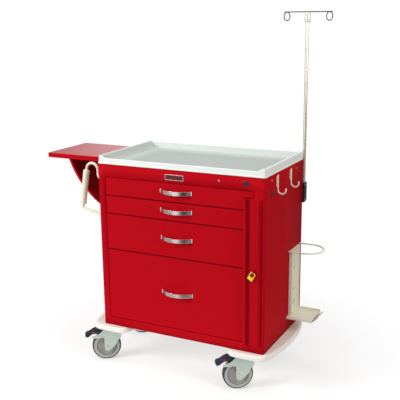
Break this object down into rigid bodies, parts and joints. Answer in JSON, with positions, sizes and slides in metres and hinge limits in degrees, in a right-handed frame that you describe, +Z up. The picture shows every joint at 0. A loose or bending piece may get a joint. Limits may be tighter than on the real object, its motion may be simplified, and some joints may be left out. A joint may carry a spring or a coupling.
{
  "type": "crash cart",
  "caption": "Steel drawer cabinet on swivel casters with top tray, drop shelf, push handle, locking bar with seal, hooks, cylinder bracket and infusion pole.",
  "frame": {"origin": "middle of the whole cart's footprint box, on the floor", "axes": "+X from the drop shelf towards the oxygen bracket, +Y from the drawer fronts to the back, +Z up"},
  "size_m": [1.167, 0.4848, 1.4712],
  "materials": {
    "red_enamel": "smooth semi-gloss powder coat on sheet steel",
    "galvanised_steel": "zinc-coated sheet steel",
    "white_abs": "vacuum-formed ABS with a fine leather grain",
    "base_abs": "moulded ABS, satin",
    "brushed_nickel": "satin nickel plate brushed along its length",
    "ivory_enamel": "smooth ivory powder coat and ribbed vinyl grip",
    "stone_enamel": "smooth stone-coloured powder coat",
    "black_nylon": "moulded black nylon, satin",
    "chrome_plate": "bright chrome plate",
    "yellow_plastic": "moulded yellow polypropylene",
    "zinc_plate": "passivated zinc plate on pressed steel, slightly green",
    "grey_nylon": "moulded grey nylon",
    "grey_rubber": "non-marking grey thermoplastic rubber"
  },
  "bodies": {
    "cabinet": {"left_side_panel": "red_enamel", "right_side_panel": "red_enamel", "back_panel": "red_enamel", "top_panel": "red_enamel", "bottom_panel": "red_enamel", "front_frame": "red_enamel", "left_slide_rack": "galvanised_steel", "right_slide_rack": "galvanised_steel", "base_bumper": "base_abs", "top_tray": "white_abs", "nameplate": "brushed_nickel", "push_handle_tube": "ivory_enamel", "push_handle_grip": "ivory_enamel", "utility_hook_front": "ivory_enamel", "utility_hook_rear": "ivory_enamel", "oxygen_bracket": "stone_enamel", "oxygen_ring": "stone_enamel", "iv_clamp_block": "black_nylon", "shelf_hinge_leaf": "red_enamel", "bar_hinge_leaf": "red_enamel", "caster_head_front_left": "zinc_plate", "caster_head_front_right": "zinc_plate", "caster_head_rear_left": "zinc_plate", "caster_head_rear_right": "zinc_plate"},
    "drawer_1": {"drawer_1_front": "red_enamel", "drawer_1_box": "galvanised_steel", "drawer_1_pull": "brushed_nickel"},
    "drawer_2": {"drawer_2_front": "red_enamel", "drawer_2_box": "galvanised_steel", "drawer_2_pull": "brushed_nickel"},
    "drawer_3": {"drawer_3_front": "red_enamel", "drawer_3_box": "galvanised_steel", "drawer_3_pull": "brushed_nickel"},
    "drawer_4": {"drawer_4_front": "red_enamel", "drawer_4_box": "galvanised_steel", "drawer_4_pull": "brushed_nickel"},
    "locking_bar": {"locking_bar": "red_enamel", "bar_hasp": "galvanised_steel"},
    "security_seal": {"security_seal": "yellow_plastic"},
    "side_shelf": {"side_shelf": "red_enamel"},
    "shelf_prop": {"shelf_prop": "red_enamel"},
    "iv_pole": {"iv_pole": "chrome_plate", "iv_pole_collar": "chrome_plate", "iv_hook_bar": "chrome_plate"},
    "clamp_knob": {"clamp_knob": "black_nylon"},
    "swivel_front_left": {"caster_fork_front_left": "zinc_plate"},
    "wheel_front_left": {"wheel_core_front_left": "grey_nylon", "wheel_tyre_front_left": "grey_rubber"},
    "swivel_front_right": {"caster_fork_front_right": "zinc_plate"},
    "wheel_front_right": {"wheel_core_front_right": "grey_nylon", "wheel_tyre_front_right": "grey_rubber"},
    "swivel_rear_left": {"caster_fork_rear_left": "zinc_plate"},
    "wheel_rear_left": {"wheel_core_rear_left": "grey_nylon", "wheel_tyre_rear_left": "grey_rubber"},
    "swivel_rear_right": {"caster_fork_rear_right": "zinc_plate"},
    "wheel_rear_right": {"wheel_core_rear_right": "grey_nylon", "wheel_tyre_rear_right": "grey_rubber"},
    "pedal_front_left": {"brake_pedal_front_left": "black_nylon"},
    "pedal_front_right": {"brake_pedal_front_right": "black_nylon"}
  },
  "joints": [
    {"name": "drawer_1_slide", "type": "slide", "parent": "cabinet", "child": "drawer_1", "axis": [0, -1, 0], "range_m": [0, 0.33]},
    {"name": "drawer_2_slide", "type": "slide", "parent": "cabinet", "child": "drawer_2", "axis": [0, -1, 0], "range_m": [0, 0.33]},
    {"name": "drawer_3_slide", "type": "slide", "parent": "cabinet", "child": "drawer_3", "axis": [0, -1, 0], "range_m": [0, 0.33]},
    {"name": "drawer_4_slide", "type": "slide", "parent": "cabinet", "child": "drawer_4", "axis": [0, -1, 0], "range_m": [0, 0.33]},
    {"name": "locking_bar_hinge", "type": "hinge", "parent": "cabinet", "child": "locking_bar", "pos_m": [0.431, -0.21415, 0.5], "axis": [0, 0, 1], "range_deg": [0, 145]},
    {"name": "seal_swing", "type": "hinge", "parent": "locking_bar", "child": "security_seal", "pos_m": [0.4045, -0.22265, 0.513], "axis": [0, 1, 0], "range_deg": [-40, 5]},
    {"name": "side_shelf_hinge", "type": "hinge", "parent": "cabinet", "child": "side_shelf", "pos_m": [-0.2905, -0.01015, 0.876], "axis": [0, -1, 0], "range_deg": [0, 68]},
    {"name": "shelf_prop_hinge", "type": "hinge", "parent": "side_shelf", "child": "shelf_prop", "pos_m": [-0.48658, -0.01015, 0.874], "axis": [0, -1, 0], "range_deg": [-96.6, 0]},
    {"name": "swivel_front_left", "type": "hinge", "parent": "cabinet", "child": "swivel_front_left", "pos_m": [-0.2705, -0.15365, 0.15], "axis": [0, 0, 1], "continuous": true},
    {"name": "wheel_spin_front_left", "type": "hinge", "parent": "swivel_front_left", "child": "wheel_front_left", "pos_m": [-0.30327, -0.17659, 0.0625], "axis": [-0.5736, 0.8192, 0], "continuous": true},
    {"name": "swivel_front_right", "type": "hinge", "parent": "cabinet", "child": "swivel_front_right", "pos_m": [0.3565, -0.15365, 0.15], "axis": [0, 0, 1], "continuous": true},
    {"name": "wheel_spin_front_right", "type": "hinge", "parent": "swivel_front_right", "child": "wheel_front_right", "pos_m": [0.32373, -0.17659, 0.0625], "axis": [-0.5736, 0.8192, 0], "continuous": true},
    {"name": "swivel_rear_left", "type": "hinge", "parent": "cabinet", "child": "swivel_rear_left", "pos_m": [-0.2705, 0.15195, 0.15], "axis": [0, 0, 1], "continuous": true},
    {"name": "wheel_spin_rear_left", "type": "hinge", "parent": "swivel_rear_left", "child": "wheel_rear_left", "pos_m": [-0.30327, 0.12901, 0.0625], "axis": [-0.5736, 0.8192, 0], "continuous": true},
    {"name": "swivel_rear_right", "type": "hinge", "parent": "cabinet", "child": "swivel_rear_right", "pos_m": [0.3565, 0.15195, 0.15], "axis": [0, 0, 1], "continuous": true},
    {"name": "wheel_spin_rear_right", "type": "hinge", "parent": "swivel_rear_right", "child": "wheel_rear_right", "pos_m": [0.32373, 0.12901, 0.0625], "axis": [-0.5736, 0.8192, 0], "continuous": true},
    {"name": "brake_pedal_front_left", "type": "hinge", "parent": "swivel_front_left", "child": "pedal_front_left", "pos_m": [-0.31965, -0.18806, 0.1355], "axis": [0.5736, -0.8192, 0], "range_deg": [0, 12]},
    {"name": "brake_pedal_front_right", "type": "hinge", "parent": "swivel_front_right", "child": "pedal_front_right", "pos_m": [0.30735, -0.18806, 0.1355], "axis": [0.5736, -0.8192, 0], "range_deg": [0, 12]},
    {"name": "iv_pole_slide", "type": "slide", "parent": "cabinet", "child": "iv_pole", "axis": [0, 0, 1], "range_m": [0, 0.05]},
    {"name": "clamp_knob_turn", "type": "hinge", "parent": "cabinet", "child": "clamp_knob", "pos_m": [0.4275, 0.22845, 0.7365], "axis": [-1, 0, 0], "range_deg": [0, 340]}
  ],
  "couplings": [
    {"joint": "shelf_prop_hinge", "follows": "side_shelf_hinge", "ratio": -1.42}
  ]
}
